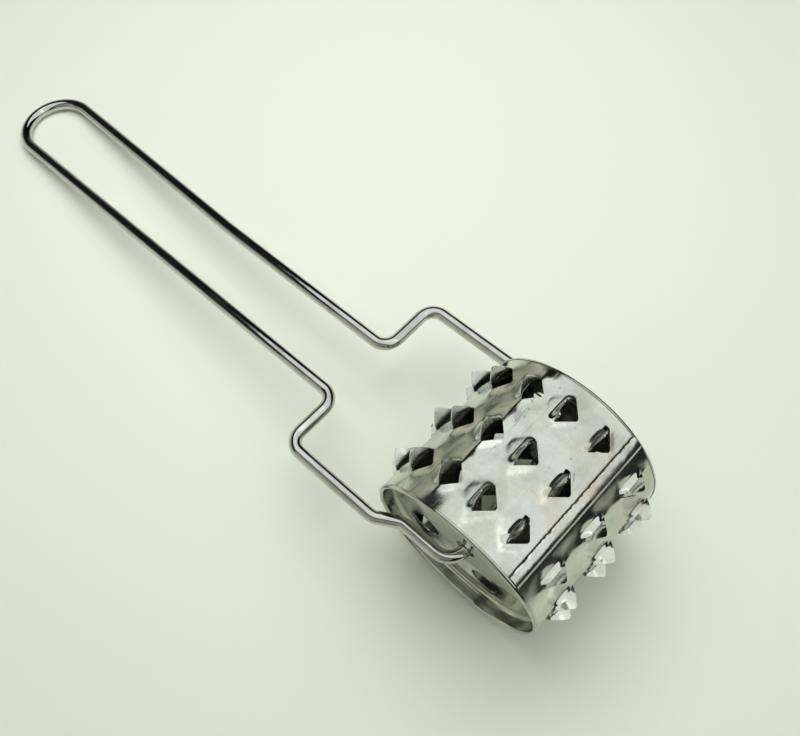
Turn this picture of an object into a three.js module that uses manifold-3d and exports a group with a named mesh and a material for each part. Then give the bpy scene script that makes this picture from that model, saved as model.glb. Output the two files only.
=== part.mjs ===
// Wire-handled toothed roller: a thin sheet drum with punched teeth that spins on the
// in-turned ends of a handle bent from a single round wire.
//
// Frame: +X from the handle loop towards the drum, +Y along the drum axis, +Z up, in
// millimetres. The tool lies on a flat surface at z = 0: the drum stands on the tips of two
// rows of teeth and the handle slopes down until the closed end of its loop touches too.
import * as THREE from 'three';
import { mergeVertices } from 'three/addons/utils/BufferGeometryUtils.js';
import Module from 'manifold-3d';

const wasm = await Module();
wasm.setup();

// ---- driving dimensions, mm ----
const WIRE_DIAMETER = 4.0;
const WIRE_SIDES = 14;

// Handle centreline, measured in the handle's own plane from the drum axis.
const HANDLE_REACH = 235.0;       // drum axis to the closed end of the loop
const NEAR_LEG_Y = 11.7;          // drum's middle to the near leg
const FAR_LEG_Y = 10.6;           // drum's middle to the far leg, at the shoulders
const FLARE_X = -135.0;           // where the far leg starts to run outwards
const FLARE_Y = 13.5;             // drum's middle to the far leg, at the loop
const FLARE_RADIUS = 60.0;
const LOOP_RADIUS = 12.4;
const SHOULDER_X = -60.2;         // where the legs turn outwards
const ARM_HALF_SPACING = 31.4;    // half the distance between the two arms
const JOG_START_X = -25.4;        // where an arm steps in over the drum rim
const JOG_END_X = -18.1;
const JOG_HALF_SPACING = 27.1;    // half spacing of the stretch inside the cap recess
const WIRE_END_Y = 15.5;          // how near the drum's middle each wire end stops
const SHOULDER_RADIUS = 5.0;
const JOG_RADIUS = 5.0;
const END_BEND_RADIUS = 5.5;
const BEND_STEP = THREE.MathUtils.degToRad(18);

// Drum shell.
const SHELL_RADIUS = 28.0;
const SHELL_SHEET = 0.5;
const SHELL_HALF_LENGTH = 25.2;
const SHELL_SEGMENTS = 60;
const SEAM_ANGLE = 35.5;          // degrees from +Z towards +X
const SEAM_WIDTH = 3.8;
const SEAM_HEIGHT = 0.8;

// Teeth: rows along the drum, evenly pitched apart from a wider gap at the seam.
const TOOTH_ROWS = 15;
const ROW_PITCH = 23.3;           // degrees
const TEETH_PER_ROW = 3;
const TOOTH_SPACING = 16.1;       // along the drum
const TOOTH_SHIFT = 0.8;          // the teeth sit this far off the middle
const TOOTH_HALF_DIAGONAL = 4.3;
const TOOTH_HEIGHT = 4.9;
const TOOTH_LEAN = 0.3;           // the tip leans back this far
const CREASE_HEIGHT = 1.4;
const CREASE_BACK = 1.2;
const HOLE_CORNER = 0.6;          // chamfer standing in for the hole's rounded corner

// End caps.
const RIM_HALF_LENGTH = 26.0;
const RIM_RADIUS = 28.2;
const CAP_SHEET = 0.5;
const CAP_FLANGE_RADIUS = 27.2;
const CAP_RECESS = 4.7;
const CAP_BEND = 1.5;
const AXLE_HOLE_RADIUS = 3.2;
const CAP_HOLES = 4;
const CAP_HOLE_RADIUS = 4.7;
const CAP_HOLE_CIRCLE = 16.3;
const CAP_HOLE_ANGLE = 148;       // degrees from +Z towards +X
const CAP_SEGMENTS = 48;

// ---- materials ----
const WIRE_STEEL = new THREE.MeshStandardMaterial({ color: 0xa9aaa2, roughness: 0.22, metalness: 1 });
const SHEET_STEEL = new THREE.MeshStandardMaterial({ color: 0xd3d6cf, roughness: 0.3, metalness: 1 });
const CAP_STEEL = new THREE.MeshStandardMaterial({ color: 0xb9bbb2, roughness: 0.35, metalness: 1 });

const rad = THREE.MathUtils.degToRad;

// ---- solids ----

// Turns a closed geometry into a solid whose faces point out.
function toSolid(geometry) {
  let shared = geometry.clone();
  shared.deleteAttribute('normal');
  shared.deleteAttribute('uv');
  shared = mergeVertices(shared, 1e-4);
  const at = shared.attributes.position;
  const index = Array.from(shared.index.array);
  const [a, b, c] = [new THREE.Vector3(), new THREE.Vector3(), new THREE.Vector3()];
  const kept = [];
  let volume = 0;
  for (let i = 0; i < index.length; i += 3) {
    const [p, q, r] = index.slice(i, i + 3);
    if (p === q || q === r || r === p) continue;
    kept.push(p, q, r);
    a.fromBufferAttribute(at, p);
    b.fromBufferAttribute(at, q);
    c.fromBufferAttribute(at, r);
    volume += a.dot(b.cross(c)) / 6;
  }
  if (volume < 0) kept.reverse();
  const mesh = new wasm.Mesh({
    numProp: 3,
    vertProperties: new Float32Array(at.array),
    triVerts: new Uint32Array(kept),
  });
  return new wasm.Manifold(mesh);
}

// Turns a solid back into a three.js geometry.
function toGeometry(solid) {
  const mesh = solid.getMesh();
  const geometry = new THREE.BufferGeometry();
  geometry.setAttribute('position', new THREE.BufferAttribute(mesh.vertProperties, 3));
  geometry.setIndex(new THREE.BufferAttribute(mesh.triVerts, 1));
  geometry.computeVertexNormals();
  return geometry;
}

function named(name, geometry, material) {
  const mesh = new THREE.Mesh(geometry, material);
  mesh.name = name;
  return mesh;
}

// ---- handle ----

// Corner points joined by straight runs, each corner rounded to its radius.
function roundedPath(corners) {
  const points = [corners[0].at];
  for (let i = 1; i < corners.length - 1; i += 1) {
    const here = corners[i].at;
    const before = here.clone().sub(corners[i - 1].at).normalize();
    const after = corners[i + 1].at.clone().sub(here).normalize();
    const turn = before.angleTo(after);
    const setback = corners[i].radius * Math.tan(turn / 2);
    const start = here.clone().addScaledVector(before, -setback);
    const side = after.clone().addScaledVector(before, -after.dot(before)).normalize();
    const steps = Math.max(2, Math.ceil(turn / BEND_STEP));
    for (let k = 0; k <= steps; k += 1) {
      const angle = (turn * k) / steps;
      points.push(start.clone()
        .addScaledVector(before, corners[i].radius * Math.sin(angle))
        .addScaledVector(side, corners[i].radius * (1 - Math.cos(angle))));
    }
  }
  points.push(corners.at(-1).at);
  return points;
}

// A curve through given points that an extrusion follows point by point.
class WireCurve extends THREE.Curve {
  constructor(points) {
    super();
    this.points = points;
  }

  getPointAt(u, target = new THREE.Vector3()) {
    return target.copy(this.points[Math.round(u * (this.points.length - 1))]);
  }

  getTangentAt(u, target = new THREE.Vector3()) {
    const last = this.points.length - 1;
    const i = Math.round(u * last);
    const before = this.points[Math.max(i - 1, 0)];
    const here = this.points[i];
    const after = this.points[Math.min(i + 1, last)];
    const arriving = here.clone().sub(before).normalize();
    const leaving = after.clone().sub(here).normalize();
    return target.copy(arriving).add(leaving).normalize();
  }
}

// Corners of half of the handle on the side given by sign, from loop to wire end.
function handleCorners(sign, legY) {
  const corner = (x, y, radius = 0) => ({ at: new THREE.Vector3(x, sign * y, 0), radius });
  return [
    corner(SHOULDER_X, legY, SHOULDER_RADIUS),
    corner(SHOULDER_X, ARM_HALF_SPACING, SHOULDER_RADIUS),
    corner(JOG_START_X, ARM_HALF_SPACING, JOG_RADIUS),
    corner(JOG_END_X, JOG_HALF_SPACING, JOG_RADIUS),
    corner(0, JOG_HALF_SPACING, END_BEND_RADIUS),
    corner(0, WIRE_END_Y),
  ];
}

function handleWire() {
  const corner = (x, y, radius) => ({ at: new THREE.Vector3(x, y, 0), radius });
  const points = roundedPath([
    ...handleCorners(-1, NEAR_LEG_Y).reverse(),
    corner(-HANDLE_REACH, -NEAR_LEG_Y, LOOP_RADIUS),
    corner(-HANDLE_REACH, FLARE_Y, LOOP_RADIUS),
    corner(FLARE_X, FAR_LEG_Y, FLARE_RADIUS),
    ...handleCorners(1, FAR_LEG_Y),
  ]);
  const spaced = points.filter((p, i) => i === 0 || p.distanceTo(points[i - 1]) > 0.05);
  const round = new THREE.Shape().absarc(0, 0, WIRE_DIAMETER / 2, 0, 2 * Math.PI);
  const geometry = new THREE.ExtrudeGeometry(round, {
    steps: spaced.length - 1,
    curveSegments: WIRE_SIDES / 2,
    bevelEnabled: false,
    extrudePath: new WireCurve(spaced),
  });
  return toGeometry(toSolid(geometry));
}

// ---- drum shell ----

// Frame of a tooth: x around the drum, y along it, z outwards.
function toothMatrix(degrees, y) {
  const angle = rad(degrees);
  const around = new THREE.Vector3(Math.cos(angle), 0, -Math.sin(angle));
  const along = new THREE.Vector3(0, 1, 0);
  const out = new THREE.Vector3(Math.sin(angle), 0, Math.cos(angle));
  const place = out.clone().multiplyScalar(SHELL_RADIUS).addScaledVector(along, y);
  return new THREE.Matrix4().makeBasis(around, along, out).setPosition(place);
}

// The lifted flap: a folded sheet, swept through its own thickness.
function toothFlap() {
  const half = TOOTH_HALF_DIAGONAL;
  const sag = (half * half) / (2 * SHELL_RADIUS);
  const outer = [
    [-half, 0, -sag - 0.04], [0, half, -0.04], [0, -half, -0.04],
    [-CREASE_BACK, 0, CREASE_HEIGHT], [-TOOTH_LEAN, 0, TOOTH_HEIGHT],
  ];
  const inner = outer.map(([x, y, z]) => [x + SHELL_SHEET, y, z - 0.75 * SHELL_SHEET]);
  const faces = [[0, 3, 1], [0, 2, 3], [1, 3, 4], [3, 2, 4]];
  const border = [0, 1, 4, 2];
  const triangles = [];
  faces.forEach(([a, b, c]) => triangles.push([a, b, c], [a + 5, c + 5, b + 5]));
  border.forEach((a, i) => {
    const b = border[(i + 1) % border.length];
    triangles.push([a, b, b + 5], [a, b + 5, a + 5]);
  });
  const geometry = new THREE.BufferGeometry();
  geometry.setAttribute('position', new THREE.Float32BufferAttribute([...outer, ...inner].flat(), 3));
  geometry.setIndex(triangles.flat());
  return geometry;
}

// The window the flap leaves in the sheet, as a cutter standing through it.
function toothWindow() {
  const half = TOOTH_HALF_DIAGONAL;
  const shape = new THREE.Shape([
    new THREE.Vector2(-half + 0.75, 0),
    new THREE.Vector2(-0.1, -half + 0.2),
    new THREE.Vector2(0.3, -half + 0.3),
    new THREE.Vector2(half - HOLE_CORNER, -HOLE_CORNER),
    new THREE.Vector2(half - 0.35 * HOLE_CORNER, 0),
    new THREE.Vector2(half - HOLE_CORNER, HOLE_CORNER),
    new THREE.Vector2(0.3, half - 0.3),
    new THREE.Vector2(-0.1, half - 0.2),
  ]);
  return new THREE.ExtrudeGeometry(shape, { depth: 3, bevelEnabled: false }).translate(0, 0, -2);
}

// Places of all teeth: [degrees, y].
function toothPlaces() {
  const first = SEAM_ANGLE + (360 - ROW_PITCH * (TOOTH_ROWS - 1)) / 2;
  const places = [];
  for (let row = 0; row < TOOTH_ROWS; row += 1) {
    for (let k = 0; k < TEETH_PER_ROW; k += 1) {
      const y = TOOTH_SHIFT + (k - (TEETH_PER_ROW - 1) / 2) * TOOTH_SPACING;
      places.push([first + ROW_PITCH * row, y]);
    }
  }
  return places;
}

// A pipe about the Y axis from a closed profile of [radius, y] pairs.
function turned(profile, segments) {
  const closed = [...profile, profile[0]].map(([r, y]) => new THREE.Vector2(r, y));
  return new THREE.LatheGeometry(closed, segments);
}

// The raised lock seam: a strip along the drum with sloping flanks.
function seamStrip() {
  const half = SEAM_WIDTH / 2;
  const foot = -0.3;
  const shape = new THREE.Shape([
    new THREE.Vector2(-half, foot), new THREE.Vector2(half, foot),
    new THREE.Vector2(half - 0.1, SEAM_HEIGHT - 0.25), new THREE.Vector2(half - 0.45, SEAM_HEIGHT),
    new THREE.Vector2(0.35 - half, SEAM_HEIGHT), new THREE.Vector2(-half, SEAM_HEIGHT - 0.25),
  ]);
  const strip = new THREE.ExtrudeGeometry(shape, {
    depth: 2 * SHELL_HALF_LENGTH,
    bevelEnabled: false,
  });
  return strip.rotateX(Math.PI / 2).translate(0, SHELL_HALF_LENGTH, 0)
    .applyMatrix4(toothMatrix(SEAM_ANGLE, 0));
}

function drumShell() {
  const inner = SHELL_RADIUS - SHELL_SHEET;
  const tube = turned([
    [inner, -SHELL_HALF_LENGTH], [SHELL_RADIUS, -SHELL_HALF_LENGTH],
    [SHELL_RADIUS, SHELL_HALF_LENGTH], [inner, SHELL_HALF_LENGTH],
  ], SHELL_SEGMENTS);
  let shell = toSolid(tube).add(toSolid(seamStrip()));
  const flap = toothFlap();
  const window = toothWindow();
  toothPlaces().forEach(([degrees, y]) => {
    const matrix = toothMatrix(degrees, y);
    shell = shell.subtract(toSolid(window.clone().applyMatrix4(matrix)));
    shell = shell.add(toSolid(flap.clone().applyMatrix4(matrix)));
  });
  return toGeometry(shell);
}

// ---- end caps ----

// Quarter-circle points about [r, y] from one angle to another, in degrees.
function arc(r, y, radius, from, to, steps) {
  return Array.from({ length: steps + 1 }, (unused, i) => {
    const angle = rad(from + ((to - from) * i) / steps);
    return [r + radius * Math.cos(angle), y + radius * Math.sin(angle)];
  });
}

// A pressed cup, its open side facing +Y: floor, rounded corner, wall and turned-out rim.
function capCup() {
  const floor = RIM_HALF_LENGTH - CAP_RECESS;
  const wallOuter = CAP_FLANGE_RADIUS;
  const bendR = wallOuter - CAP_SHEET - CAP_BEND;
  const bendY = floor + CAP_BEND;
  return turned([
    [AXLE_HOLE_RADIUS, floor - CAP_SHEET],
    ...arc(bendR, bendY, CAP_BEND + CAP_SHEET, -90, 0, 3),
    [wallOuter, RIM_HALF_LENGTH - 0.5],
    [RIM_RADIUS - 0.2, RIM_HALF_LENGTH - 0.5],
    [RIM_RADIUS, RIM_HALF_LENGTH - 0.3],
    [RIM_RADIUS - 0.2, RIM_HALF_LENGTH],
    [wallOuter, RIM_HALF_LENGTH],
    [wallOuter - CAP_SHEET, RIM_HALF_LENGTH - 0.5],
    ...arc(bendR, bendY, CAP_BEND, 0, -90, 3),
    [AXLE_HOLE_RADIUS, floor],
  ], CAP_SEGMENTS);
}

function endCap(side) {
  let cap = toSolid(capCup());
  for (let i = 0; i < CAP_HOLES; i += 1) {
    const angle = rad(CAP_HOLE_ANGLE + (360 * i) / CAP_HOLES);
    const drill = new THREE.CylinderGeometry(CAP_HOLE_RADIUS, CAP_HOLE_RADIUS, 4, 24);
    drill.translate(
      CAP_HOLE_CIRCLE * Math.sin(angle),
      RIM_HALF_LENGTH - CAP_RECESS,
      CAP_HOLE_CIRCLE * Math.cos(angle),
    );
    cap = cap.subtract(toSolid(drill));
  }
  const geometry = toGeometry(cap);
  return side > 0 ? geometry : toGeometry(toSolid(geometry.scale(1, -1, 1)));
}

// ---- assembly ----

// Height of the drum axis when the drum stands on two rows of tooth tips.
const tipRadius = Math.hypot(SHELL_RADIUS + TOOTH_HEIGHT, TOOTH_LEAN);
const axisHeight = tipRadius * Math.cos(rad(ROW_PITCH / 2));
const handleSlope = Math.asin((axisHeight - WIRE_DIAMETER / 2) / HANDLE_REACH);

const handle = new THREE.Group();
handle.add(named('handle_wire', handleWire(), WIRE_STEEL));
handle.rotation.y = -handleSlope;

const drum = new THREE.Group();
drum.add(named('drum_shell', drumShell(), SHEET_STEEL));
drum.add(named('end_cap_near', endCap(-1), CAP_STEEL));
drum.add(named('end_cap_far', endCap(1), CAP_STEEL));

const roller = new THREE.Group();
roller.add(handle, drum);

// The origin is the middle of the footprint, on the surface the tool lies on.
const extent = new THREE.Box3().setFromObject(roller, true);
const middle = extent.getCenter(new THREE.Vector3());
roller.position.set(-middle.x, -middle.y, -extent.min.z);

export default roller;
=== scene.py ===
"""Looks of a hand roller: a toothed sheet drum on a bent-wire handle.

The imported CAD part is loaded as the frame. Every CAD node is stood for by a finer piece of the
same size, modelled here the way the real one is made: the handle is bent from one wire, the drum
is a pierced sheet rolled up and seamed, and the end caps are pressed cups.
"""

from __future__ import annotations

import logging
import math
import random
from dataclasses import dataclass, field
from enum import Enum
from typing import ClassVar

import bmesh
import bpy
from bmesh.types import BMEdge, BMesh, BMVert
from mathutils import Matrix, Vector

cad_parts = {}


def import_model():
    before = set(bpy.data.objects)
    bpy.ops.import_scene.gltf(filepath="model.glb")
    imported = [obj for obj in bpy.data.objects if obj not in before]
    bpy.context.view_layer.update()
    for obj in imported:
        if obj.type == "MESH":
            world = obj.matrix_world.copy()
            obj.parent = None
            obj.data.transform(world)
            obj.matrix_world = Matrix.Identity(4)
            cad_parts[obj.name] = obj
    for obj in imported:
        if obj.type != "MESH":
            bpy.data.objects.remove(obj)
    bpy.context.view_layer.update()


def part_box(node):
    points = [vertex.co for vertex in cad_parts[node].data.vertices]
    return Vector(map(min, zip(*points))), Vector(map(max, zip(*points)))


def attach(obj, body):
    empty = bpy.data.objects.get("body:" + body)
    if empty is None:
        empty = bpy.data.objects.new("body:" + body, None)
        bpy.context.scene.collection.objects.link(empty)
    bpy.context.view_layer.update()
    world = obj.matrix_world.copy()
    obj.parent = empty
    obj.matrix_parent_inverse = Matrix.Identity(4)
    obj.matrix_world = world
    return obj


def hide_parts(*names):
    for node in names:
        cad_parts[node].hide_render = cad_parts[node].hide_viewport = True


LOG = logging.getLogger("roller")
MM = 0.001


class Side(Enum):
    """Which end of the drum a cap closes, as the sign of its Y."""

    NEAR = -1
    FAR = 1


# ---------------------------------------------------------------- shared tools


def finished_object(name: str, shape: BMesh, body: str, finish: bpy.types.Material,
                    stands_for: str) -> bpy.types.Object:
    """Turns a bmesh into a scene object that rides on a body and stands for a CAD node.

    Args:
        name: name of the new object.
        shape: the bmesh, in the row frame, in metres; it is freed.
        body: CAD body it moves with.
        finish: its material.
        stands_for: the CAD node it replaces.

    Returns:
        The new object.
    """
    mesh = bpy.data.meshes.new(name)
    shape.to_mesh(mesh)
    shape.free()
    mesh.shade_smooth()
    mesh.materials.append(finish)
    piece = bpy.data.objects.new(name, mesh)
    bpy.context.scene.collection.objects.link(piece)
    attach(piece, body)
    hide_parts(stands_for)
    return piece


def give_thickness(piece: bpy.types.Object, sheet: float, edge_round: float,
                   inner: bpy.types.Material, sharp_angle: float = 42.0) -> None:
    """Gives a single-surface piece its sheet thickness, inwards, with eased edges.

    Args:
        piece: the object, its faces pointing out.
        sheet: thickness in metres.
        edge_round: width of the eased edge in metres.
        inner: material of the side that faces inwards, which carries painted shade for the inside
            of the drum.
        sharp_angle: edges sharper than this many degrees are eased.
    """
    piece.data.materials.append(inner)
    wall = piece.modifiers.new("sheet", "SOLIDIFY")
    wall.thickness = sheet
    wall.offset = -1.0
    wall.material_offset = 1
    wall.use_even_offset = False
    wall.thickness_clamp = 0.8
    wall.use_quality_normals = True
    ease = piece.modifiers.new("eased_edges", "BEVEL")
    ease.width = edge_round
    ease.segments = 2
    ease.limit_method = "ANGLE"
    ease.angle_limit = math.radians(sharp_angle)
    ease.harden_normals = True
    ease.use_clamp_overlap = True


def mapped_grid(shape: BMesh, across: list[float], along: list[float]) -> list[BMVert]:
    """Adds a flat grid whose lines stand at the given stations.

    Args:
        shape: the bmesh to add to.
        across: X stations, ascending.
        along: Y stations, ascending.

    Returns:
        The grid's vertices.
    """
    columns, rows = len(across) - 1, len(along) - 1
    made = bmesh.ops.create_grid(shape, x_segments=columns, y_segments=rows, size=0.5)
    for vert in made["verts"]:
        i = round((vert.co.x + 0.5) * columns)
        j = round((vert.co.y + 0.5) * rows)
        vert.co = Vector((across[i], along[j], 0.0))
    return made["verts"]


def even_steps(low: float, high: float, count: int) -> list[float]:
    """Returns count + 1 evenly spaced numbers from low to high."""
    return [low + (high - low) * i / count for i in range(count + 1)]


# ---------------------------------------------------------------- node building


class NodeBench:
    """A material's node tree with short ways to add and join nodes."""

    def __init__(self, name: str) -> None:
        """Starts a material with a Principled shader joined to its output."""
        self.material = bpy.data.materials.new(name)
        self.material.use_nodes = True
        self.tree = self.material.node_tree
        self.shader = self.tree.nodes["Principled BSDF"]
        self.place = self.add("ShaderNodeTexCoord").outputs["Object"]

    def add(self, kind: str, **settings: object) -> bpy.types.Node:
        """Adds a node and sets its plain attributes."""
        node = self.tree.nodes.new(kind)
        for key, value in settings.items():
            setattr(node, key, value)
        return node

    def join(self, source: bpy.types.NodeSocket, target: bpy.types.NodeSocket) -> None:
        """Links an output to an input."""
        self.tree.links.new(source, target)

    def stretched(self, scale: tuple[float, float, float],
                  turn: tuple[float, float, float] = (0.0, 0.0, 0.0)) -> bpy.types.NodeSocket:
        """Object coordinates scaled and turned.

        Args:
            scale: multiplier on each axis.
            turn: Euler angles in degrees.

        Returns:
            The vector socket.
        """
        node = self.add("ShaderNodeMapping")
        node.inputs["Scale"].default_value = scale
        node.inputs["Rotation"].default_value = [math.radians(a) for a in turn]
        self.join(self.place, node.inputs["Vector"])
        return node.outputs["Vector"]

    def noise(self, scale: float, detail: float = 3.0, rough: float = 0.55,
              where: bpy.types.NodeSocket | None = None) -> bpy.types.NodeSocket:
        """A noise value.

        Args:
            scale: features per metre.
            detail: octaves.
            rough: weight of the finer octaves.
            where: coordinates, plain Object ones if left out.

        Returns:
            The factor socket.
        """
        node = self.add("ShaderNodeTexNoise")
        node.inputs["Scale"].default_value = scale
        node.inputs["Detail"].default_value = detail
        node.inputs["Roughness"].default_value = rough
        self.join(where or self.place, node.inputs["Vector"])
        return node.outputs["Fac"]

    def ranged(self, value: bpy.types.NodeSocket, low: float, high: float,
               to_low: float, to_high: float) -> bpy.types.NodeSocket:
        """Maps a value's range onto another, clamped.

        Args:
            value: the socket to map.
            low: input that gives to_low.
            high: input that gives to_high.
            to_low: output at low.
            to_high: output at high.

        Returns:
            The mapped socket.
        """
        node = self.add("ShaderNodeMapRange", clamp=True)
        for key, number in (("From Min", low), ("From Max", high),
                            ("To Min", to_low), ("To Max", to_high)):
            node.inputs[key].default_value = number
        self.join(value, node.inputs["Value"])
        return node.outputs["Result"]

    def maths(self, operation: str, first: bpy.types.NodeSocket,
              second: bpy.types.NodeSocket | float) -> bpy.types.NodeSocket:
        """Joins two values by a Math node's operation and returns the result."""
        node = self.add("ShaderNodeMath", operation=operation)
        self.join(first, node.inputs[0])
        if isinstance(second, float):
            node.inputs[1].default_value = second
        else:
            self.join(second, node.inputs[1])
        return node.outputs[0]

    def blended(self, amount: bpy.types.NodeSocket, first: object,
                second: object) -> bpy.types.NodeSocket:
        """Mixes two colours, each a tuple or a socket, by an amount."""
        node = self.add("ShaderNodeMix", data_type="RGBA")
        self.join(amount, node.inputs["Factor"])
        for key, colour in ((6, first), (7, second)):
            if isinstance(colour, tuple):
                node.inputs[key].default_value = (*colour, 1.0)
            else:
                self.join(colour, node.inputs[key])
        return node.outputs[2]

    def bumped(self, layers: list[tuple[bpy.types.NodeSocket, float]]) -> None:
        """Stacks bump layers, each a height socket and a depth in metres, on the shader."""
        normal = None
        for height, depth in layers:
            node = self.add("ShaderNodeBump")
            node.inputs["Distance"].default_value = depth
            node.inputs["Strength"].default_value = 1.0
            self.join(height, node.inputs["Height"])
            if normal is not None:
                self.join(normal, node.inputs["Normal"])
            normal = node.outputs["Normal"]
        self.join(normal, self.shader.inputs["Normal"])

    def scratches(self, density: float, turns: tuple[float, ...]) -> bpy.types.NodeSocket:
        """Fine straight scratches in several directions, as a value from 0 to 1.

        Args:
            density: scratches per metre across their run.
            turns: directions in degrees.

        Returns:
            The scratch socket.
        """
        total = None
        for turn in turns:
            lanes = self.stretched((1.0, 0.035, 1.0), (turn * 0.6, 0.0, turn))
            line = self.ranged(self.noise(density, 2.0, 0.5, lanes), 0.66, 0.74, 0.0, 1.0)
            total = line if total is None else self.maths("MAXIMUM", total, line)
        return total


# ---------------------------------------------------------------- finishes


@dataclass(frozen=True)
class BrightSheet:
    """Bright rolled sheet: cloudy, speckled and scratched, with rust in its folded seam."""

    name: str = "bright_sheet"
    colour: tuple[float, float, float] = (0.64, 0.67, 0.595)
    cloud: tuple[float, float, float] = (0.45, 0.485, 0.41)
    speck: tuple[float, float, float] = (0.20, 0.19, 0.15)
    rust: tuple[float, float, float] = (0.13, 0.085, 0.04)
    warm: tuple[float, float, float] = (0.62, 0.52, 0.40)
    gloss: float = 0.08
    dull: float = 0.22

    def material(self) -> bpy.types.Material:
        """Builds the material."""
        bench = NodeBench(self.name)
        clouds = bench.ranged(bench.noise(85.0, 5.0, 0.66), 0.40, 0.68, 0.0, 1.0)
        grain = bench.ranged(bench.noise(1500.0, 2.0, 0.6), 0.35, 0.75, 0.0, 1.0)
        patches = bench.ranged(bench.noise(45.0, 2.0, 0.5), 0.45, 0.65, 0.0, 1.0)
        dots = bench.ranged(bench.noise(900.0, 2.0, 0.55), 0.66, 0.73, 0.0, 0.8)
        specks = bench.maths("MULTIPLY", dots, patches)
        warmth = bench.ranged(bench.noise(38.0, 3.0, 0.6, bench.stretched((1.0, 1.4, 1.0))),
                              0.60, 0.72, 0.0, 0.55)
        lines = bench.scratches(1000.0, (8.0, 63.0, 121.0))
        grime = bench.add("ShaderNodeAttribute", attribute_name=ToothedDrum.grime_name)
        broken = bench.ranged(bench.noise(330.0, 4.0, 0.7), 0.36, 0.62, 0.15, 1.0)
        rusted = bench.maths("MULTIPLY", grime.outputs["Fac"], broken)
        base = bench.blended(clouds, self.colour, self.cloud)
        base = bench.blended(bench.maths("MULTIPLY", grain, 0.22), base, self.cloud)
        base = bench.blended(warmth, base, self.warm)
        base = bench.blended(specks, base, self.speck)
        bench.join(bench.blended(rusted, base, self.rust), bench.shader.inputs["Base Color"])
        dulling = bench.ranged(clouds, 0.0, 1.0, self.gloss, self.dull)
        for layer, amount in ((lines, 0.14), (specks, 0.2), (warmth, 0.2), (rusted, 0.35)):
            dulling = bench.maths("ADD", dulling, bench.maths("MULTIPLY", layer, amount))
        bench.join(dulling, bench.shader.inputs["Roughness"])
        bench.shader.inputs["Metallic"].default_value = 1.0
        bench.bumped([
            (bench.noise(95.0, 2.0, 0.5), 0.00022),
            (bench.noise(480.0, 3.0, 0.6), 0.000014),
            (grain, 0.0000035),
            (lines, -0.000004),
        ])
        return bench.material


@dataclass(frozen=True)
class PaintedShadeInside:
    """Inner side of the sheet, painted shade: a dark mottled tone for the shade inside the drum
    and caps, giving way to the sheet's own unshaded colour up the raised teeth.
    """

    name: str = "painted_shade_inside"
    # The first two colours are painted shade inside the drum; the third is the sheet's own
    # unshaded colour, used on the raised teeth.
    colour: tuple[float, float, float] = (0.27, 0.28, 0.22)
    deeper_shade: tuple[float, float, float] = (0.12, 0.12, 0.085)
    unshaded_metal: tuple[float, float, float] = (0.55, 0.58, 0.53)
    gloss: float = 0.16
    dull: float = 0.38

    def material(self) -> bpy.types.Material:
        """Builds the material."""
        bench = NodeBench(self.name)
        # Patches where the painted shade is deeper.
        deeper_shade = bench.ranged(bench.noise(140.0, 4.0, 0.62), 0.38, 0.66, 0.0, 1.0)
        lines = bench.scratches(900.0, (40.0, 100.0))
        raised = bench.add("ShaderNodeAttribute", attribute_name=ToothedDrum.raised_name)
        # Painted shade, which gives way to the unshaded colour up the raised teeth.
        base = bench.blended(deeper_shade, self.colour, self.deeper_shade)
        bench.join(bench.blended(raised.outputs["Fac"], base, self.unshaded_metal),
                   bench.shader.inputs["Base Color"])
        dulling = bench.ranged(deeper_shade, 0.0, 1.0, self.gloss, self.dull)
        bench.join(bench.maths("ADD", dulling, bench.maths("MULTIPLY", lines, 0.12)),
                   bench.shader.inputs["Roughness"])
        bench.shader.inputs["Metallic"].default_value = 1.0
        bench.bumped([
            (bench.noise(300.0, 3.0, 0.6), 0.00003),
            (lines, -0.000004),
        ])
        return bench.material


@dataclass(frozen=True)
class PressedSteel:
    """Deep-pressed sheet, more mirror-like, with faint clouds and specks. Its colour is darker
    than the drum's sheet: partly the cup's own tone, partly painted shade for its recess.
    """

    name: str = "pressed_steel"
    # Darker than the drum's sheet, partly as painted shade for the recessed cup.
    colour: tuple[float, float, float] = (0.53, 0.55, 0.48)
    cloud: tuple[float, float, float] = (0.40, 0.415, 0.345)
    speck: tuple[float, float, float] = (0.10, 0.08, 0.05)
    gloss: float = 0.08
    dull: float = 0.2

    def material(self) -> bpy.types.Material:
        """Builds the material."""
        bench = NodeBench(self.name)
        clouds = bench.ranged(bench.noise(160.0, 5.0, 0.66), 0.36, 0.70, 0.0, 1.0)
        specks = bench.ranged(bench.noise(620.0, 2.0, 0.5), 0.70, 0.75, 0.0, 0.9)
        lines = bench.scratches(1100.0, (25.0, 96.0))
        base = bench.blended(clouds, self.colour, self.cloud)
        bench.join(bench.blended(specks, base, self.speck), bench.shader.inputs["Base Color"])
        dulling = bench.ranged(clouds, 0.0, 1.0, self.gloss, self.dull)
        dulling = bench.maths("ADD", dulling, bench.maths("MULTIPLY", specks, 0.3))
        bench.join(bench.maths("ADD", dulling, bench.maths("MULTIPLY", lines, 0.14)),
                   bench.shader.inputs["Roughness"])
        bench.shader.inputs["Metallic"].default_value = 1.0
        bench.bumped([
            (bench.noise(75.0, 2.0, 0.5), 0.00026),
            (bench.noise(600.0, 3.0, 0.6), 0.000012),
            (lines, -0.000004),
        ])
        return bench.material


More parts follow.
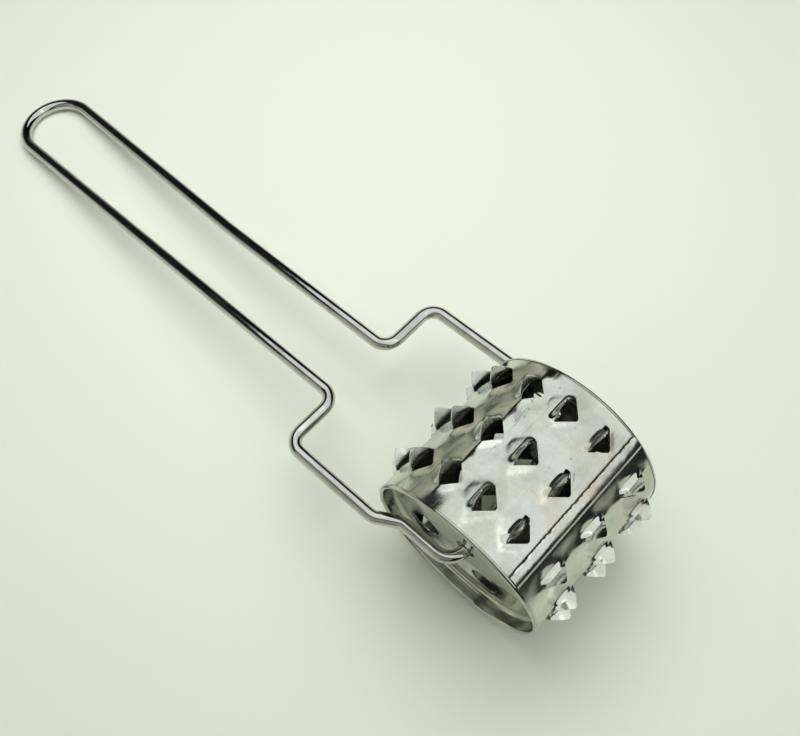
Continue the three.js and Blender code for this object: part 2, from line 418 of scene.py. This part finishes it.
@dataclass(frozen=True)
class DrawnWire:
    """Polished round wire with the fine lengthwise lines that drawing leaves."""

    name: str = "drawn_wire"
    colour: tuple[float, float, float] = (0.56, 0.57, 0.52)
    worn: tuple[float, float, float] = (0.43, 0.435, 0.385)
    gloss: float = 0.08
    dull: float = 0.19

    def material(self) -> bpy.types.Material:
        """Builds the material."""
        bench = NodeBench(self.name)
        wear = bench.ranged(bench.noise(120.0, 4.0, 0.6), 0.45, 0.72, 0.0, 1.0)
        drawn = bench.noise(2600.0, 2.0, 0.5, bench.stretched((0.02, 1.0, 1.0)))
        nicks = bench.ranged(bench.noise(700.0, 2.0, 0.5), 0.72, 0.77, 0.0, 1.0)
        bench.join(bench.blended(wear, self.colour, self.worn),
                   bench.shader.inputs["Base Color"])
        gloss = bench.ranged(wear, 0.0, 1.0, self.gloss, self.dull)
        bench.join(bench.maths("ADD", gloss, bench.maths("MULTIPLY", nicks, 0.2)),
                   bench.shader.inputs["Roughness"])
        bench.shader.inputs["Metallic"].default_value = 1.0
        bench.bumped([
            (bench.noise(90.0, 2.0, 0.5), 0.00006),
            (drawn, 0.0000025),
            (nicks, -0.00001),
        ])
        return bench.material


@dataclass(frozen=True)
class PaleTop:
    """Smooth pale table top."""

    name: str = "pale_top"
    colour: tuple[float, float, float] = (0.885, 0.935, 0.80)
    roughness: float = 0.62

    def material(self) -> bpy.types.Material:
        """Builds the material."""
        bench = NodeBench(self.name)
        tone = bench.ranged(bench.noise(6.0, 2.0, 0.5), 0.3, 0.7, 0.0, 1.0)
        darker = tuple(0.985 * c for c in self.colour)
        bench.join(bench.blended(tone, self.colour, darker), bench.shader.inputs["Base Color"])
        bench.shader.inputs["Roughness"].default_value = self.roughness
        bench.shader.inputs["Specular IOR Level"].default_value = 0.25
        return bench.material


# ---------------------------------------------------------------- where the drum is


@dataclass(frozen=True)
class DrumPlace:
    """Middle of the drum's axis and half the length over its rims, read from the frame."""

    centre: Vector
    rim_half_length: float

    @classmethod
    def from_frame(cls) -> DrumPlace:
        """Reads the place from the two end caps' boxes."""
        low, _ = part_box("end_cap_near")
        _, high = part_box("end_cap_far")
        return cls((low + high) / 2, (high.y - low.y) / 2)

    def to_row_frame(self, shape: BMesh) -> None:
        """Moves a mesh modelled about the drum's middle to its place."""
        bmesh.ops.translate(shape, verts=shape.verts, vec=self.centre)


# ---------------------------------------------------------------- handle


@dataclass
class WireHandle:
    """One round wire bent into a loop with two arms and in-turned ends.

    Corner points are in the handle's own plane, measured from the drum axis.
    """

    drum: DrumPlace
    radius: float = 2.0 * MM
    reach: float = 235.0 * MM
    near_leg: float = 11.7 * MM
    far_leg: float = 10.6 * MM
    flare: tuple[float, float, float] = (-135.0 * MM, 13.5 * MM, 60.0 * MM)
    loop_bend: float = 12.4 * MM
    shoulder: float = -60.2 * MM
    arm: float = 31.4 * MM
    jog: tuple[float, float] = (-25.4 * MM, -18.1 * MM)
    tucked: float = 27.1 * MM
    end: float = 15.5 * MM
    shoulder_bend: float = 5.0 * MM
    jog_bend: float = 5.0 * MM
    end_bend: float = 5.5 * MM
    end_round: float = 0.44 * MM
    around: int = 32
    bend_step: float = 5.0
    run_step: float = 6.0 * MM
    shape: BMesh = field(default_factory=bmesh.new)
    ring: list[BMEdge] = field(default_factory=list)

    def corners(self) -> list[tuple[float, float, float]]:
        """Lists (x, y, bend radius) from the near wire end round to the far one."""
        def half(leg: float) -> list[tuple[float, float, float]]:
            """Corners from a leg's shoulder to its wire end, on the far side."""
            return [
                (self.shoulder, leg, self.shoulder_bend),
                (self.shoulder, self.arm, self.shoulder_bend),
                (self.jog[0], self.arm, self.jog_bend),
                (self.jog[1], self.tucked, self.jog_bend),
                (0.0, self.tucked, self.end_bend),
                (0.0, self.end, 0.0),
            ]

        flare_x, flare_y, flare_bend = self.flare
        loop = [
            (-self.reach, -self.near_leg, self.loop_bend),
            (-self.reach, flare_y, self.loop_bend),
            (flare_x, self.far_leg, flare_bend),
        ]
        near = [(x, -y, r) for x, y, r in reversed(half(self.near_leg))]
        return near + loop + half(self.far_leg)

    def run(self, start: Vector, stop: Vector) -> None:
        """Draws the wire out straight from one point to another."""
        count = max(1, round((stop - start).length / self.run_step))
        for _ in range(count):
            made = bmesh.ops.extrude_edge_only(self.shape, edges=self.ring)["geom"]
            verts = [g for g in made if isinstance(g, BMVert)]
            fresh = set(verts)
            self.ring = [g for g in made if isinstance(g, BMEdge)
                         and g.verts[0] in fresh and g.verts[1] in fresh]
            bmesh.ops.translate(self.shape, verts=verts, vec=(stop - start) / count)

    def bend(self, centre: Vector, angle: float) -> None:
        """Bends the wire about a centre.

        Args:
            centre: centre of the bend.
            angle: turn about +Z, in radians.
        """
        steps = max(3, round(abs(math.degrees(angle)) / self.bend_step))
        ends = {v for e in self.ring for v in e.verts}
        made = bmesh.ops.spin(self.shape, geom=[*ends, *self.ring], cent=centre,
                              axis=(0.0, 0.0, 1.0), angle=angle, steps=steps,
                              use_merge=False, use_duplicate=False)["geom_last"]
        self.ring = [g for g in made if isinstance(g, BMEdge)]

    def close_end(self) -> None:
        """Fills the open ring and rounds the cut end."""
        face = bmesh.ops.contextual_create(self.shape, geom=self.ring)["faces"]
        bmesh.ops.bevel(self.shape, geom=[e for f in face for e in f.edges],
                        offset=self.end_round, segments=3, profile=0.5,
                        affect="EDGES", material=-1)

    def bend_wire(self) -> None:
        """Makes the whole wire in the handle's plane."""
        points = self.corners()
        first = Vector((*points[0][:2], 0.0))
        heading = (Vector((*points[1][:2], 0.0)) - first).normalized()
        face_on = Matrix.Translation(first) @ heading.to_track_quat("Z", "Y").to_matrix().to_4x4()
        made = bmesh.ops.create_circle(self.shape, cap_ends=False, radius=self.radius,
                                       segments=self.around, matrix=face_on)
        start_ring = list({e for v in made["verts"] for e in v.link_edges})
        self.ring = start_ring
        here = first
        for before, corner, after in zip(points, points[1:], points[2:]):
            at = Vector((*corner[:2], 0.0))
            arrive = (at - Vector((*before[:2], 0.0))).normalized()
            leave = (Vector((*after[:2], 0.0)) - at).normalized()
            turn = math.atan2(arrive.cross(leave).z, arrive.dot(leave))
            setback = corner[2] * math.tan(abs(turn) / 2)
            bend_start = at - arrive * setback
            if (bend_start - here).length > 1e-6:
                self.run(here, bend_start)
            left = Vector((-arrive.y, arrive.x, 0.0)) * math.copysign(1.0, turn)
            self.bend(bend_start + left * corner[2], turn)
            here = at + leave * setback
        self.run(here, Vector((*points[-1][:2], 0.0)))
        self.close_end()
        self.ring = [e for e in start_ring if e.is_valid]
        self.close_end()

    def build(self, finish: bpy.types.Material) -> bpy.types.Object:
        """Bends the wire, lays it at its slope and returns the finished object."""
        self.bend_wire()
        bmesh.ops.remove_doubles(self.shape, verts=self.shape.verts, dist=1e-6)
        bmesh.ops.recalc_face_normals(self.shape, faces=self.shape.faces)
        low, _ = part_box("handle_wire")
        drop = self.drum.centre.z - (low.z + self.radius)
        slope = math.asin(drop / self.reach)
        bmesh.ops.rotate(self.shape, verts=self.shape.verts, cent=(0.0, 0.0, 0.0),
                         matrix=Matrix.Rotation(-slope, 3, "Y"))
        self.drum.to_row_frame(self.shape)
        return finished_object("bent_wire_handle", self.shape, "handle", finish,
                               "handle_wire")


# ---------------------------------------------------------------- drum


@dataclass(frozen=True)
class ToothForm:
    """A pierced and lifted tooth.

    x runs round the drum, y along it and z outwards. A right-angled corner is cut into the
    sheet, and the flap inside it is folded up along a line parallel to the drum's axis. The
    sheet behind the fold is drawn up with it.
    """

    half: float = 4.55 * MM
    height: float = 5.05 * MM
    blunt: float = 0.32 * MM
    lean: float = 0.5 * MM
    fold_back: float = 0.95 * MM
    fold_height: float = 1.1 * MM
    fold_round: float = 0.6 * MM
    fold_ends: float = 2.8
    ramp: float = 2.2 * MM
    ramp_curve: float = 1.3
    swell: float = 0.26 * MM
    swell_reach: float = 1.5 * MM
    lip: float = 0.05 * MM
    lip_reach: float = 0.45 * MM
    hole_corner: float = 0.34 * MM

    def share(self, y: float) -> float:
        """How far a line across the tooth is from its ends: 1 at the middle, 0 at an end."""
        return max(0.0, 1 - abs(y) / self.half)

    def fold(self, y: float) -> Vector:
        """Place of the fold, as (x, z), on the line at y."""
        ease = 1 - (1 - self.share(y)) ** self.fold_ends
        return Vector((-self.fold_back, self.fold_height)) * ease

    def behind(self, s: float, y: float) -> Vector:
        """Place, as (x, z), of the drawn-up sheet at a distance s < 0 before the fold."""
        part = min(1.0, -s / self.ramp)
        fold = self.fold(y)
        return Vector((fold.x * (1 - part) + s, fold.y * (1 - part) ** self.ramp_curve))

    def flap(self, s: float, y: float) -> Vector:
        """Place, as (x, z), of the flap at a distance s > 0 past the fold."""
        share = max(1e-6, self.share(y))
        fold = self.fold(y)
        edge = fold.lerp(Vector((-self.lean, self.height)), share)
        along = min(s, self.half - self.blunt)
        return fold.lerp(edge, min(1.0, along / (self.half * share)))

    def place(self, s: float, y: float) -> Vector:
        """Place, as (x, z), of a sheet point, with the fold rounded."""
        k = self.fold_round * min(1.0, 2 * self.share(y))
        if s <= -k:
            return self.behind(s, y)
        if s >= k or k == 0:
            return self.flap(s, y)
        t = (s + k) / (2 * k)
        return ((1 - t) ** 2 * self.behind(-k, y) + 2 * t * (1 - t) * self.fold(y)
                + t ** 2 * self.flap(k, y))

    def swelling(self, x: float, y: float) -> float:
        """Height by which the sheet round a tooth is drawn up at a point."""
        away = max(0.0, (abs(x) + abs(y) - self.half) / math.sqrt(2))
        soft = self.swell * math.exp(-((away / self.swell_reach) ** 2))
        edge = self.lip * math.exp(-((away / self.lip_reach) ** 2)) if x > 0 else 0.0
        return soft + edge


@dataclass
class ToothedDrum:
    """Thin sheet pierced with rows of teeth, rolled into a tube and lock-seamed.

    The seam profile lists (place across the seam, height) in millimetres.
    """

    drum: DrumPlace
    tooth: ToothForm = field(default_factory=ToothForm)
    radius: float = 28.0 * MM
    sheet: float = 0.4 * MM
    edge_round: float = 0.11 * MM
    half_length: float = 24.95 * MM
    rows: int = 15
    row_pitch: float = 23.3
    per_row: int = 3
    spacing: float = 16.1 * MM
    shift: float = 0.8 * MM
    seam_angle: float = 35.5
    facet: float = 0.5 * MM
    facet_soft: float = 0.7 * MM
    cuts: int = 10
    seam_profile: tuple[tuple[float, float], ...] = (
        (0.00, 0.00), (0.50, 0.00), (0.95, 0.00), (1.12, 0.04), (1.18, 0.14), (1.00, 0.26),
        (0.66, 0.29), (0.55, 0.42), (0.58, 0.62), (0.74, 0.76), (1.10, 0.80), (2.10, 0.82),
        (3.10, 0.80), (3.70, 0.76), (4.10, 0.64), (4.30, 0.44), (4.38, 0.20), (4.48, 0.06),
        (4.75, 0.00), (5.137, 0.00),
    )
    burr: float = 0.13 * MM
    burr_height: tuple[float, float] = (0.25, 0.7)
    burr_reach: float = 0.7
    grime_width: tuple[float, float] = (0.45, 1.25)
    grime_height: float = 0.5
    lean_spread: float = 0.07
    skew_spread: float = 0.09
    behind_share: float = 0.6
    # How fast the painted shade on the inner side gives way to the sheet's unshaded colour up a
    # flap.
    unshaded_rise: float = 2.5
    grime_name: ClassVar[str] = "seam_grime"
    raised_name: ClassVar[str] = "raised_tooth"
    seed: int = 11

    @property
    def pitch(self) -> float:
        """Distance from row to row on the sheet."""
        return math.radians(self.row_pitch) * self.radius

    def stations_across(self) -> list[float]:
        """Grid lines of one cell round the drum, denser over the tooth."""
        half, edge = self.tooth.half, self.pitch / 2
        return (even_steps(-edge, -half, 2)[:-1] + even_steps(-half, half, 2 * self.cuts)
                + even_steps(half, edge, 2)[1:])

    def stations_along(self) -> list[float]:
        """Grid lines of one cell along the drum, denser over the tooth."""
        half, edge = self.tooth.half, self.spacing / 2
        return (even_steps(-edge, -half, 5)[:-1] + even_steps(-half, half, 2 * self.cuts)
                + even_steps(half, edge, 5)[1:])

    def pierce(self, cell: BMesh) -> None:
        """Cuts the flap's two free sides into a cell."""
        half = self.tooth.half
        for sy in (-1, 1):
            faces = [f for f in cell.faces
                     if 0 < f.calc_center_median().x < half
                     and 0 < sy * f.calc_center_median().y < half]
            near = {g for f in faces for g in (*f.edges, *f.verts)}
            bmesh.ops.bisect_plane(cell, geom=[*faces, *near], dist=1e-7,
                                   plane_co=(half, 0.0, 0.0), plane_no=(1.0, sy, 0.0))
        free = [e for e in cell.edges
                if all(abs(v.co.x + abs(v.co.y) - half) < 1e-6 for v in e.verts)]
        bmesh.ops.split_edges(cell, edges=free)

    def lift(self, cell: BMesh) -> None:
        """Lifts the flap and draws up the sheet round it."""
        form = self.tooth
        raised = cell.verts.layers.float.new(self.raised_name)
        for vert in cell.verts:
            x, y = vert.co.x, vert.co.y
            fade = (1 - (2 * x / self.pitch) ** 4) * (1 - (2 * y / self.spacing) ** 4)
            middles = [f.calc_center_median() for f in vert.link_faces]
            inside = all(m.x + abs(m.y) < form.half for m in middles)
            across_tooth = abs(y) < form.half - 1e-7
            if across_tooth and x >= 0 and inside:
                vert.co.x, vert.co.z = form.place(x, y)
                # How far the painted shade on the inner side is lifted off this flap point.
                vert[raised] = min(1.0, self.unshaded_rise * x / form.half)
            elif across_tooth and x < 0:
                vert.co.x, vert.co.z = form.place(x, y)
            corner = abs(x - form.half) < 1e-7 and abs(y) < 1e-7 and not inside
            if corner:
                vert.co.x -= form.hole_corner
            if not (across_tooth and x >= 0 and inside):
                share = 1.0 if x >= 0 else self.behind_share
                vert.co.z += form.swelling(x, y) * fade * share

    def blank(self) -> BMesh:
        """Makes the whole flat sheet: pierced cells, a plain margin and the seam strip."""
        cell = bmesh.new()
        mapped_grid(cell, self.stations_across(), self.stations_along())
        self.pierce(cell)
        self.lift(cell)
        stamp = bpy.data.meshes.new("tooth_cell")
        cell.to_mesh(stamp)
        cell.free()
        sheet = bmesh.new()
        chance = random.Random(self.seed)
        margin_top = self.shift - self.per_row * self.spacing / 2
        margin = even_steps(-self.half_length, margin_top, 2)
        for row in range(self.rows):
            x = (row + 0.5) * self.pitch
            for k in range(self.per_row):
                y = self.shift + (k - (self.per_row - 1) / 2) * self.spacing
                before = len(sheet.verts)
                sheet.from_mesh(stamp)
                sheet.verts.ensure_lookup_table()
                fresh = sheet.verts[before:]
                lean = chance.uniform(-self.lean_spread, self.lean_spread)
                skew = chance.uniform(-self.skew_spread, self.skew_spread)
                for vert in fresh:
                    rise = max(0.0, vert.co.z - self.tooth.fold_height)
                    vert.co.x += rise * lean
                    vert.co.y += rise * skew
                bmesh.ops.translate(sheet, verts=fresh, vec=(x, y, 0.0))
            across = [x + s for s in self.stations_across()]
            mapped_grid(sheet, across, margin)
        bpy.data.meshes.remove(stamp)
        self.add_seam(sheet, margin)
        bmesh.ops.remove_doubles(sheet, verts=sheet.verts, dist=2e-6)
        return sheet

    def add_seam(self, sheet: BMesh, margin: list[float]) -> None:
        """Adds the lock seam: a folded band that stands proud of the sheet.

        Args:
            sheet: the flat sheet.
            margin: Y stations of the plain margin.
        """
        start = self.rows * self.pitch
        width = 2 * math.pi * self.radius - start
        last = self.seam_profile[-1][0]
        along = list(margin)
        for k in range(self.per_row):
            y = self.shift + (k - (self.per_row - 1) / 2) * self.spacing
            along += [y + s for s in self.stations_along()][1:]
        columns = even_steps(0.0, 1.0, len(self.seam_profile) - 1)
        grime = sheet.verts.layers.float.new(self.grime_name)
        verts = mapped_grid(sheet, columns, along)
        chance = random.Random(self.seed + 1)
        ragged = [self.burr * chance.uniform(-1.0, 1.0) for _ in along]
        for vert in verts:
            x, z = self.seam_profile[round(vert.co.x * (len(columns) - 1))]
            line = min(range(len(along)), key=lambda j: abs(along[j] - vert.co.y))
            at_lip = self.burr_height[0] < z < self.burr_height[1] and x < self.burr_reach
            fray = ragged[line] if at_lip else 0.0
            vert.co = Vector((start + x / last * width + fray, vert.co.y, z * MM))
            if self.grime_width[0] < x < self.grime_width[1] and z < self.grime_height:
                vert[grime] = 1.0

    def flatness(self, x: float, y: float) -> float:
        """How far the sheet lies inside the true round at a point, between two rows."""
        if x > self.rows * self.pitch:
            return 0.0
        middle = self.pitch / 2
        from_row = math.hypot((x % self.pitch) - middle, self.facet_soft)
        dip = 1 - ((from_row - middle) / middle) ** 2
        ease = 1 - min(1.0, abs(y) / self.half_length) ** 6
        edge = min(1.0, x / middle, (self.rows * self.pitch - x) / middle)
        return self.facet * max(0.0, dip) * ease * edge

    def roll_up(self, sheet: BMesh) -> None:
        """Rolls the flat sheet round the drum axis, a little flatter between rows."""
        gap = 2 * math.pi * self.radius - self.rows * self.pitch
        lead = math.radians(self.seam_angle) + gap / 2 / self.radius
        for vert in sheet.verts:
            x, y, z = vert.co
            radius = self.radius + z - self.flatness(x, y)
            angle = lead + x / self.radius
            vert.co = Vector((radius * math.sin(angle), y, radius * math.cos(angle)))
        bmesh.ops.remove_doubles(sheet, verts=sheet.verts, dist=4e-6)

    def build(self, finish: bpy.types.Material,
              inner: bpy.types.Material) -> bpy.types.Object:
        """Pierces, rolls and seams the sheet and returns the finished object."""
        sheet = self.blank()
        self.roll_up(sheet)
        bmesh.ops.recalc_face_normals(sheet, faces=sheet.faces)
        sheet.faces.ensure_lookup_table()
        outward = sum(f.normal.dot(Vector((f.calc_center_median().x, 0.0,
                                           f.calc_center_median().z)).normalized())
                      for f in sheet.faces)
        if outward < 0:
            bmesh.ops.reverse_faces(sheet, faces=sheet.faces)
        self.drum.to_row_frame(sheet)
        piece = finished_object("toothed_drum", sheet, "drum", finish, "drum_shell")
        give_thickness(piece, self.sheet, self.edge_round, inner)
        return piece


# ---------------------------------------------------------------- end caps


@dataclass
class EndCap:
    """Pressed cup that closes one end of the drum, with a rolled rim and pierced floor."""

    drum: DrumPlace
    side: Side
    sheet: float = 0.42 * MM
    recess: float = 4.7 * MM
    wall: float = 26.7 * MM
    corner: float = 1.5 * MM
    floor_band: float = 1.2 * MM
    bead: float = 0.75 * MM
    lip: float = 0.22 * MM
    axle_hole: float = 3.2 * MM
    holes: int = 4
    hole: float = 4.7 * MM
    hole_circle: float = 16.3 * MM
    hole_angle: float = 148.0
    around: int = 96
    hole_around: int = 64
    hole_band: float = 0.8 * MM
    edge_round: float = 0.08 * MM

    def profile(self) -> list[tuple[float, float]]:
        """Lists (radius, y) of the cup's open-side surface, from floor to rolled rim."""
        rim = self.drum.rim_half_length
        floor = rim - self.recess
        bend_r, bend_y = self.wall - self.corner, floor + self.corner
        bead_r, bead_y = self.wall + self.bead, rim - self.bead
        points = [(bend_r - self.floor_band, floor)]
        for i in range(7):
            a = math.radians(-90 + 15 * i)
            points.append((bend_r + self.corner * math.cos(a), bend_y + self.corner * math.sin(a)))
        for i in range(11):
            a = math.radians(180 - 18 * i)
            points.append((bead_r + self.bead * math.cos(a), bead_y + self.bead * math.sin(a)))
        points.append((bead_r + self.bead, bead_y - self.lip))
        return points

    def ring(self, shape: BMesh, radius: float, x: float, z: float, y: float,
             count: int) -> list[BMEdge]:
        """Adds a circle of edges facing along Y and returns its edges."""
        place = Matrix.Translation((x, y, z)) @ Matrix.Rotation(math.radians(90), 4, "X")
        made = bmesh.ops.create_circle(shape, cap_ends=False, radius=radius,
                                       segments=count, matrix=place)
        return list({e for v in made["verts"] for e in v.link_edges})

    def spin_wall(self, shape: BMesh) -> None:
        """Spins the cup's profile round the drum axis."""
        verts = [shape.verts.new((0.0, y, r)) for r, y in self.profile()]
        edges = [shape.edges.new(pair) for pair in zip(verts, verts[1:])]
        bmesh.ops.spin(shape, geom=[*verts, *edges], cent=(0.0, 0.0, 0.0),
                       axis=(0.0, 1.0, 0.0), angle=2 * math.pi, steps=self.around,
                       use_merge=True, use_duplicate=False)
        bmesh.ops.remove_doubles(shape, verts=shape.verts, dist=1e-6)

    def lay_floor(self, shape: BMesh) -> None:
        """Fills the cup's floor round its holes, each inside a ring of even faces."""
        floor_y = self.drum.rim_half_length - self.recess
        edge = [e for e in shape.edges if e.is_boundary
                and all(abs(v.co.y - floor_y) < 1e-6 for v in e.verts)]
        around_holes = [(self.axle_hole, 0.0, 0.0)]
        for i in range(self.holes):
            a = math.radians(self.hole_angle + 360.0 * i / self.holes)
            around_holes.append((self.hole, self.hole_circle * math.sin(a),
                                 self.hole_circle * math.cos(a)))
        for radius, x, z in around_holes:
            inner = self.ring(shape, radius, x, z, floor_y, self.hole_around)
            outer = self.ring(shape, radius + self.hole_band, x, z, floor_y, self.hole_around)
            bmesh.ops.bridge_loops(shape, edges=[*inner, *outer])
            edge += outer
        bmesh.ops.triangle_fill(shape, use_beauty=True, use_dissolve=False, edges=edge)

    def build(self, finish: bpy.types.Material,
              inner: bpy.types.Material) -> bpy.types.Object:
        """Presses the cup and returns the finished object."""
        shape = bmesh.new()
        self.spin_wall(shape)
        self.lay_floor(shape)
        if self.side is Side.NEAR:
            bmesh.ops.scale(shape, verts=shape.verts, vec=(1.0, -1.0, 1.0))
        bmesh.ops.recalc_face_normals(shape, faces=shape.faces)
        floor = min(shape.faces, key=lambda f: Vector((f.calc_center_median().x, 0.0,
                                                       f.calc_center_median().z)).length)
        if floor.normal.y * self.side.value < 0:
            bmesh.ops.reverse_faces(shape, faces=shape.faces)
        self.drum.to_row_frame(shape)
        word = self.side.name.lower()
        piece = finished_object(f"pressed_cap_{word}", shape, "drum", finish,
                                f"end_cap_{word}")
        give_thickness(piece, self.sheet, self.edge_round, inner)
        return piece


# ---------------------------------------------------------------- studio


@dataclass(frozen=True)
class Panel:
    """A soft rectangular light aimed at a point."""

    name: str
    place: tuple[float, float, float]
    aim: tuple[float, float, float]
    size: tuple[float, float]
    watts: float
    colour: tuple[float, float, float] = (1.0, 1.0, 1.0)
    mirrored: bool = True
    lights_table: bool = True

    def light(self) -> None:
        """Hangs the light."""
        data = bpy.data.lights.new(self.name, "AREA")
        data.shape = "RECTANGLE"
        data.size, data.size_y = self.size
        data.energy = self.watts
        data.color = self.colour
        lamp = bpy.data.objects.new(self.name, data)
        lamp.location = self.place
        lamp.visible_glossy = self.mirrored
        lamp.visible_diffuse = self.lights_table
        direction = Vector(self.aim) - Vector(self.place)
        lamp.rotation_euler = direction.to_track_quat("-Z", "Y").to_euler()
        bpy.context.scene.collection.objects.link(lamp)


@dataclass
class Studio:
    """Pale table top, soft lights, dim surroundings and the camera."""

    drum: DrumPlace
    top_half: float = 3.0
    lens: float = 40.08
    eye: tuple[float, float, float] = (24.05 * MM, -77.88 * MM, 239.71 * MM)
    aim: tuple[float, float, float] = (-59.92 * MM, 17.5 * MM, -32.2 * MM)
    up: tuple[float, float, float] = (-0.6231, 0.6578, 0.4231)
    paler_side: tuple[float, float, float] = (-0.9, -0.55, 0.0)
    panels: tuple[Panel, ...] = (
        Panel("overhead", (0.135, 0.15, 0.55), (0.135, 0.15, 0.0), (1.13, 0.9), 3.3),
        Panel("overhead_far", (1.2, 0.15, 0.55), (1.2, 0.15, 0.0), (1.0, 0.9), 2.9,
              lights_table=False),
        Panel("tube", (0.15, 0.085, 0.54), (0.15, 0.085, 0.0), (1.0, 0.07), 0.12),
        Panel("near_side", (0.1, -0.9, 0.6), (0.05, 0.0, 0.02), (1.6, 0.7), 1.2,
              colour=(1.0, 0.97, 0.88)),
        Panel("fill", (-0.07, 0.08, 0.38), (-0.07, 0.08, 0.0), (0.3, 0.3), 0.70,
              mirrored=False),
    )

    def set_table(self) -> None:
        """Lays the pale table top."""
        shape = bmesh.new()
        bmesh.ops.create_grid(shape, x_segments=8, y_segments=8, size=self.top_half)
        mesh = bpy.data.meshes.new("table_top")
        shape.to_mesh(mesh)
        shape.free()
        mesh.materials.append(PaleTop().material())
        top = bpy.data.objects.new("table_top", mesh)
        bpy.context.scene.collection.objects.link(top)

    def set_surroundings(self) -> None:
        """Gives the room a near-black sky, a pale warm band low round the walls and olive grey
        below, all brighter towards one side, for the metal to mirror.
        """
        world = bpy.data.worlds.new("room")
        world.use_nodes = True
        nodes, links = world.node_tree.nodes, world.node_tree.links
        split = nodes.new("ShaderNodeSeparateXYZ")
        place = nodes.new("ShaderNodeTexCoord").outputs["Generated"]
        links.new(place, split.inputs[0])
        height = nodes.new("ShaderNodeValToRGB")
        low, high = height.color_ramp.elements
        low.position, low.color = 0.0, (0.42, 0.44, 0.35, 1.0)
        high.position, high.color = 0.46, (0.012, 0.014, 0.012, 1.0)
        for at, tone in ((0.18, (0.70, 0.65, 0.56, 1.0)), (0.32, (0.08, 0.085, 0.07, 1.0))):
            height.color_ramp.elements.new(at).color = tone
        links.new(split.outputs["Z"], height.inputs["Fac"])
        toward = nodes.new("ShaderNodeVectorMath")
        toward.operation = "DOT_PRODUCT"
        toward.inputs[1].default_value = self.paler_side
        links.new(place, toward.inputs[0])
        share = nodes.new("ShaderNodeMapRange")
        for key, number in (("From Min", 0.05), ("From Max", 0.65), ("To Min", 0.05),
                            ("To Max", 1.0)):
            share.inputs[key].default_value = number
        links.new(toward.outputs["Value"], share.inputs["Value"])
        links.new(height.outputs["Color"], nodes["Background"].inputs["Color"])
        links.new(share.outputs["Result"], nodes["Background"].inputs["Strength"])
        bpy.context.scene.world = world

    def set_camera(self) -> None:
        """Stands the camera over the near end of the drum, looking down the handle."""
        data = bpy.data.cameras.new("camera")
        data.lens = self.lens
        data.clip_start = 0.005
        camera = bpy.data.objects.new("camera", data)
        back = (Vector(self.eye) - Vector(self.aim)).normalized()
        right = Vector(self.up).cross(back).normalized()
        turned = Matrix((right, back.cross(right), back)).transposed().to_4x4()
        camera.matrix_world = Matrix.Translation(self.drum.centre + Vector(self.eye)) @ turned
        bpy.context.scene.collection.objects.link(camera)
        bpy.context.scene.camera = camera

    def build(self) -> None:
        """Sets the whole studio."""
        self.set_table()
        for panel in self.panels:
            panel.light()
        self.set_surroundings()
        self.set_camera()
        bpy.context.scene.view_settings.view_transform = "Standard"


# ---------------------------------------------------------------- the roller


def main() -> None:
    """Loads the frame, builds every piece and the studio, and reports each."""
    logging.basicConfig(level=logging.INFO, format="%(name)s: %(message)s")
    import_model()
    drum = DrumPlace.from_frame()
    pressed = PressedSteel().material()
    # Painted shade for the inner faces of the drum and caps.
    inner = PaintedShadeInside().material()
    pieces = [
        WireHandle(drum).build(DrawnWire().material()),
        ToothedDrum(drum).build(BrightSheet().material(), inner),
        EndCap(drum, Side.NEAR).build(pressed, inner),
        EndCap(drum, Side.FAR).build(pressed, inner),
    ]
    for piece in pieces:
        LOG.info("%s: %d faces", piece.name, len(piece.data.polygons))
    Studio(drum).build()


if __name__ == "__main__":
    main()
